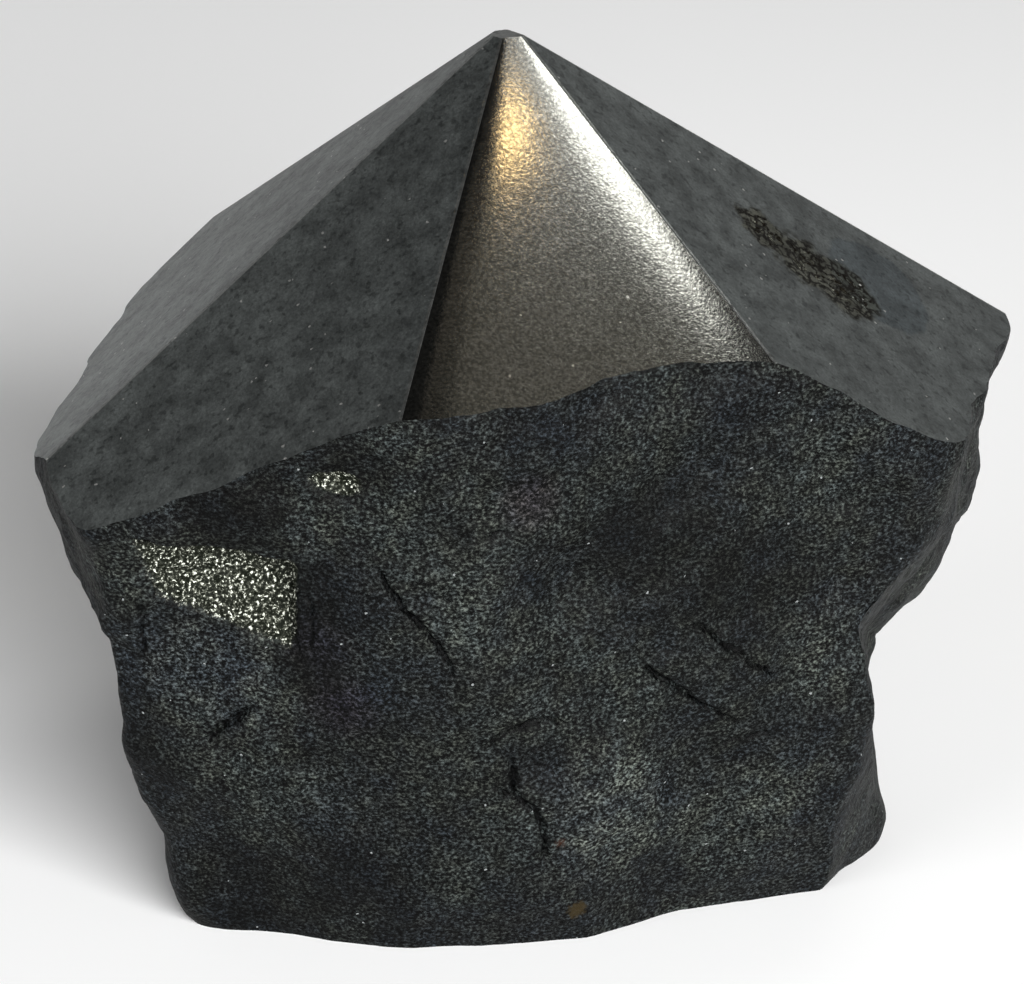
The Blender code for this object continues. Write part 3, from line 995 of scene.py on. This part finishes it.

# %% [markdown]
# ## Ground faces
# Hematite that has been ground flat is a dull grey metal mirror: it reflects about a quarter of the light,
# and the fine scratches of the wheel blur what it shows. It is mottled, with small darker spots, and here
# and there a single crystal flashes, a glint painted into the colour. The right-hand face also has a dark
# stain and a patch where softer grains have come out of the polish and left winding pits, painted dark:
# partly dirt and partly painted shade. All these are noise, cells and patches at their real sizes.

# %% Ground finishes
# PIT_COLOUR darkens the winding pits in the polish: partly dirt, partly painted shade.
PIT_COLOUR = (0.012, 0.010, 0.007)
PATCHES = (((17.4, -3.0, 48.2), 1.7), ((20.3, -3.5, 46.3), 2.2), ((23.2, -3.4, 44.3), 2.7))
STAIN_AT, STAIN_RADIUS, STAIN_COLOUR = (26.0, 0.0, 43.2), 4.2, (0.76, 0.81, 0.86)


def winding_pits(tree, place):
    """The ragged patches of the right-hand face, and the winding dark lines of noise inside them."""
    patch = 0.0
    for centre, radius in PATCHES:
        patch = maths(tree, "MAXIMUM", patch, patch_near(tree, place, centre, radius, 0.8, 2.6))
    lines = ramp(tree, noise_texture(tree, place, 1.3, 3.0, 5.0), [
        (0.40, 0.0), (0.465, 1.0), (0.53, 1.0), (0.60, 0.0)])
    return patch, maths(tree, "MULTIPLY", patch, lines)


def ground_finish(name, tone, roughness, rise, glint_share, mottle=0.3, spot=0.6, grain=0.72, pits=False):
    """A ground face: dull metal with soft mottling, small dark spots and rare bright grains painted as
    glints.
    """
    tree, shader, place = start_finish(name)
    shader.inputs["Metallic"].default_value = 1.0
    tone = Vector(tone)
    colour = ramp(tree, noise_texture(tree, place, 0.45, 5.0, roughness=0.62), [
        (0.36, tone * (1.0 - mottle)), (0.64, tone * (1.0 + mottle))])
    spots = ramp(tree, noise_texture(tree, place, 1.9, 2.0, 31.0), [(0.32, spot), (0.43, 1.0)])
    colour = blend(tree, "MULTIPLY", 1.0, colour, spots)
    grains = noise_texture(tree, place, 4.4, 2.0, 27.0, roughness=0.6)
    colour = blend(tree, "MULTIPLY", 1.0, colour, ramp(tree, grains, [(0.34, grain), (0.66, 1.0)]))
    blur = noise_texture(tree, place, 3.0, 3.0, 12.0)
    blur = ramp(tree, blur, [(0.3, roughness * 0.85), (0.7, roughness * 1.15)])
    if pits:
        stain = patch_near(tree, place, STAIN_AT, STAIN_RADIUS, 0.35, 1.4)
        colour = blend(tree, "MULTIPLY", stain, colour, STAIN_COLOUR)
        patch, lines = winding_pits(tree, place)
        dark = maths(tree, "MAXIMUM", lines, attribute(tree, "dirt"))
        colour = blend(tree, "MULTIPLY", patch, colour, (0.62, 0.58, 0.49))
        colour = blend(tree, "MIX", dark, colour, PIT_COLOUR)
        blur = blend(tree, "MIX", patch, blur, (0.5, 0.5, 0.5))
    # A rare few grains turn pale: painted glints.
    colour = blend(tree, "MIX", painted_glints(tree, place, 6.0, glint_share), colour, (0.75, 0.75, 0.72))
    fill(tree, shader.inputs["Base Color"], colour)
    fill(tree, shader.inputs["Roughness"], blur)
    raise_relief(tree, shader, [(noise_texture(tree, place, 1.2, 3.0, 3.0), rise * 1.3),
                                (noise_texture(tree, place, 5.2, 2.0, 17.0), rise * 1.4)])
    return len(tree.nodes)


print("nodes in the ground finishes:", [
    ground_finish("ground_face", (0.245, 0.266, 0.260), 0.36, 0.014, 0.0015, pits=True),
    # The worn ridge strips are paler than the ground faces: worn, and with a painted highlight.
    ground_finish("worn_ridge_highlight", (0.36, 0.37, 0.36), 0.36, 0.010, 0.002, 0.1),
    ground_finish("polished_front_face", (0.34, 0.34, 0.315), 0.155, 0.0052, 0.0006, 0.06, 1.0, 0.45),
    ground_finish("sawn_base", (0.10, 0.105, 0.105), 0.60, 0.020, 0.002)])

# %% [markdown]
# ## Broken rock
# Broken hematite is nearly black, and each of its grains catches the light by itself, so up close it is a
# speckle of grey points, each a fifth of a mm wide. A speckle ramp with a steep rise gives that: it is partly
# the grains' own tone and partly painted glints. It lies over broad patches of bluish, greenish and tan grey,
# and over the stains of the mesh, and a rare few grains are painted glints of their own. The pocket has the
# same grains, fresh, with their glitter painted in: bright greenish yellow, with black between them. Dirt and
# painted shade in the cracks and along the pocket's edges, and two small rust spots, come last.

# %% Rock finish
ROCK_PATCHES = [(0.34, (0.022, 0.027, 0.031)), (0.46, (0.031, 0.036, 0.037)),
                (0.54, (0.039, 0.045, 0.042)), (0.66, (0.060, 0.070, 0.065))]
# The speckle is partly the grains' own tone and partly painted glints.
ROCK_SPECKLE = [(0.38, 0.0), (0.48, 0.07), (0.58, 0.36), (0.68, 1.0)]
# The pocket's grains: their glitter is painted into the colour, bright greenish yellow with black between.
POCKET_PAINTED_GLITTER = [(0.45, (0.003, 0.004, 0.002)), (0.54, (0.020, 0.022, 0.016)),
                  (0.61, (0.12, 0.125, 0.10)), (0.68, (0.66, 0.68, 0.60))]
RUST_SPOTS = (((3.7, -17.8, 9.1), 0.25, (0.026, 0.010, 0.005)),
              ((5.0, -16.0, 2.8), 0.50, (0.020, 0.014, 0.005)))
PALE_GAIN = 2.6


def rock_colour(tree, place, grains):
    """The colour of the broken rock, from broad patches down to single grains, with painted glints among
    them.
    """
    colour = ramp(tree, noise_texture(tree, place, 0.13, 4.0, 5.0, roughness=0.6), ROCK_PATCHES)
    clouds = noise_texture(tree, place, 0.55, 3.0, 41.0)
    tint = ramp(tree, clouds, [(0.38, (0.94, 0.97, 1.02)), (0.62, (1.04, 1.01, 0.93))])
    colour = blend(tree, "MULTIPLY", 1.0, colour, tint)
    stain = maths(tree, "MULTIPLY", attribute(tree, "pale"), ramp(tree, clouds, [(0.34, 0.65), (0.66, 1.35)]))
    colour = blend(tree, "MULTIPLY", 1.0, colour, maths(tree, "POWER", PALE_GAIN, stain))
    colour = blend(tree, "MULTIPLY", attribute(tree, "violet"), colour, (1.05, 0.84, 1.0))
    colour = blend(tree, "MULTIPLY", 1.0, colour, ramp(tree, grains, ROCK_SPECKLE))
    # A rare few grains of the rock turn pale grey: painted glints.
    return blend(tree, "MIX", painted_glints(tree, place, 7.5, 0.0004), colour, (0.16, 0.17, 0.17))


def rock_marks(tree, place, colour):
    """Adds the rust spots, the painted glitter of the pocket's grains, and the dirt and painted shade in the
    cracks.
    """
    for centre, radius, rust in RUST_SPOTS:
        mask = maths(tree, "MULTIPLY", patch_near(tree, place, centre, radius, 0.4, 0.8), 0.85)
        colour = blend(tree, "MIX", mask, colour, rust)
    painted_glitter = ramp(tree, noise_texture(tree, place, 4.4, 2.0, 61.0, roughness=0.7), POCKET_PAINTED_GLITTER)
    colour = blend(tree, "MIX", attribute(tree, "pocket"), colour, painted_glitter)
    # Cracks and the pocket's edges get darker here: partly dirt, partly painted shade.
    broken = ramp(tree, noise_texture(tree, place, 1.1, 3.0, 71.0), [(0.36, 0.15), (0.56, 1.0)])
    shade = maths(tree, "MULTIPLY", attribute(tree, "dirt"), broken)
    return blend(tree, "MULTIPLY", shade, colour, (0.07, 0.07, 0.08))


tree, shader, place = start_finish("broken_rock")
grains = noise_texture(tree, place, 3.9, 2.5, 11.0, (1.0, 1.0, 1.25), 0.65)
fill(tree, shader.inputs["Base Color"], rock_marks(tree, place, rock_colour(tree, place, grains)))
shader.inputs["Roughness"].default_value = 0.55
shader.inputs["Specular IOR Level"].default_value = 0.06
raise_relief(tree, shader, [(noise_texture(tree, place, 1.1, 3.0, 2.0), 0.25), (grains, 0.10)])
print("nodes in the rock finish:", len(tree.nodes))

# %% [markdown]
# ## The room
# The stone stands on white paper. A ground face is a dull mirror, so its tone is that of the part of the
# room which it faces: the walls are a light grey near the floor and the ceiling is nearly black. That gives
# the two side faces and the right-hand one their greys, and the left part of the front face its black.

# %% Floor and walls
TARGET = (AXIS + Vector((0.478, 2.0, 26.948))) * MM
FLOOR_SIZE = 8.0
PAPER = (0.92, 0.92, 0.92)
WALLS = [(0.0, 0.25), (0.38, 0.31), (0.70, 0.115), (0.92, 0.02)]

bpy.ops.object.select_all(action="DESELECT")
bpy.ops.mesh.primitive_plane_add(size=FLOOR_SIZE)
floor = bpy.context.object
floor.name = "floor"
paper = bpy.data.materials.new("floor_paper")
paper.use_nodes = True
shader = paper.node_tree.nodes["Principled BSDF"]
shader.inputs["Base Color"].default_value = (*PAPER, 1.0)
shader.inputs["Roughness"].default_value = 0.9
floor.data.materials.append(paper)

room = bpy.data.worlds.new("room")
room.use_nodes = True
tree = room.node_tree
upwards = node(tree, "SeparateXYZ", "Z", {"Vector": node(tree, "TexCoord", "Generated", {})})
fill(tree, tree.nodes["Background"].inputs["Color"], ramp(tree, upwards, WALLS))
bpy.context.scene.world = room
bpy.context.scene.view_settings.view_transform = "Standard"
print("the floor is", FLOOR_SIZE, "m wide")

# %% [markdown]
# ## Lamps
# Two large soft boxes at the front, the key and a weaker fill, light the rock and the paper. They stand so
# low that the front face doesn't mirror them. What it does mirror hangs above the stone: a window, which
# gives the white band along its right edge, a dimmer blind beside it, a faint warm ceiling, and one small
# yellow lamp, which gives the golden glint near the point.

# %% Soft boxes and the lamp
def soft_box(name, place, size, brightness, colour=(1.0, 1.0, 1.0), level=False):
    """A lit rectangle at a place in mm from the axis. It faces the stone, or straight down where level."""
    lamp = bpy.data.lights.new(name, "AREA")
    lamp.shape = "RECTANGLE"
    lamp.size, lamp.size_y = size[0] * MM, size[1] * MM
    lamp.energy = brightness * math.pi * lamp.size * lamp.size_y
    lamp.color = colour
    holder = bpy.data.objects.new(name, lamp)
    bpy.context.scene.collection.objects.link(holder)
    holder.location = (AXIS + Vector(place)) * MM
    if not level:
        holder.rotation_euler = (holder.location - TARGET).to_track_quat("Z", "Y").to_euler()


soft_box("window", (82.0, 36.0, 230.0), (36.0, 58.0), 7.0, (1.0, 1.0, 0.97), level=True)
soft_box("blind", (51.0, 24.0, 231.0), (26.0, 60.0), 1.2, level=True)
soft_box("ceiling", (62.0, -31.0, 231.0), (76.0, 46.0), 0.20, (1.0, 0.93, 0.80), level=True)
soft_box("lamp", (13.1, -5.65, 105.8), (4.0, 4.0), 11.5, (1.0, 0.66, 0.26), level=True)
soft_box("lamp_glow", (6.0, -20.0, 231.0), (34.0, 26.0), 0.10, (1.0, 0.88, 0.74), level=True)
soft_box("key", (640.0, -1360.0, 544.0), (1120.0, 640.0), 28.0)
soft_box("fill", (-950.0, -900.0, 350.0), (800.0, 600.0), 6.0)

# %% [markdown]
# ## Camera
# The photograph was taken from a little above, from a few hand-widths away, with a long lens. The angle and
# the distance were found by laying the stone's outline and ridges over the photograph.

# %% Place the camera
CAMERA_ELEVATION = math.radians(22.0)
CAMERA_DISTANCE = 340.0 * MM
CAMERA_LENS = 167.34

lens = bpy.data.cameras.new("camera")
lens.lens = CAMERA_LENS
lens.sensor_width = 36.0
lens.clip_start = 0.01
camera = bpy.data.objects.new("camera", lens)
bpy.context.scene.collection.objects.link(camera)
back = Vector((0.0, -math.cos(CAMERA_ELEVATION), math.sin(CAMERA_ELEVATION)))
camera.location = TARGET + back * CAMERA_DISTANCE
camera.rotation_euler = (math.pi / 2 - CAMERA_ELEVATION, 0.0, 0.0)
bpy.context.scene.camera = camera
print("the camera is at", [round(value / MM, 1) for value in camera.location], "mm")
